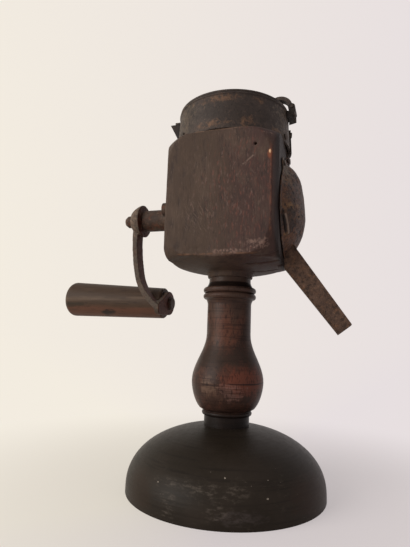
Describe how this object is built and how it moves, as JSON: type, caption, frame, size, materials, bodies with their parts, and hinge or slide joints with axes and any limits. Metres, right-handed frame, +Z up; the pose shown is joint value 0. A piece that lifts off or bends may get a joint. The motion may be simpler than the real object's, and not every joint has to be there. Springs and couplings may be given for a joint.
{
  "type": "hand-cranked spice mill",
  "caption": "Hand-cranked table spice mill: turned wooden foot and stem, square wooden head, iron hopper with hinged lid, side crank with turning grip, dished cover and open spout.",
  "frame": {"origin": "middle of the foot's underside, on the table", "axes": "+Z up the stem, +X along the crank shaft towards the cover and spout, so the crank is on -X"},
  "size_m": [0.1778, 0.104, 0.2187],
  "materials": {
    "dark_wood": "old dark stain, worn at the edges",
    "red_wood": "old reddish polish, worn",
    "sheet_iron": "blackened sheet iron with brown rust",
    "rusty_iron": "rusted wrought sheet",
    "forged_iron": "forged, dark brown patina",
    "burr_iron": "cast, dark and worn",
    "nail_iron": "hand-made nail, rubbed"
  },
  "bodies": {
    "frame": {"foot": "dark_wood", "stem": "red_wood", "block": "dark_wood", "hopper": "sheet_iron", "hopper_nails": "nail_iron", "hopper_strap": "sheet_iron", "strap_nails": "nail_iron", "hinge_leaf": "sheet_iron", "hinge_rivets": "nail_iron", "hinge_pin": "nail_iron", "lid_catch": "sheet_iron", "catch_rivet": "nail_iron", "bearing_plate": "forged_iron", "bearing_nails": "nail_iron", "burr_ring": "burr_iron", "bearing_bridge": "burr_iron", "bridge_screws": "nail_iron", "cover": "rusty_iron", "cover_nails": "nail_iron", "spout": "rusty_iron"},
    "crank": {"shaft": "forged_iron", "grinding_cone": "burr_iron", "crank_arm": "forged_iron", "grip_spindle": "forged_iron", "grip_washer": "forged_iron"},
    "grip": {"grip": "red_wood"},
    "lid": {"lid": "sheet_iron"}
  },
  "joints": [
    {"name": "crank_turn", "type": "hinge", "parent": "frame", "child": "crank", "pos_m": [0, 0, 0.14853], "axis": [1, 0, 0], "continuous": true},
    {"name": "grip_spin", "type": "hinge", "parent": "crank", "child": "grip", "pos_m": [-0.04311, 0.014, 0.09895], "axis": [-0.9994, 0, 0.0349], "continuous": true},
    {"name": "lid_hinge", "type": "hinge", "parent": "frame", "child": "lid", "pos_m": [0.0347, 0, 0.20973], "axis": [0, 1, 0], "range_deg": [0, 105]}
  ]
}
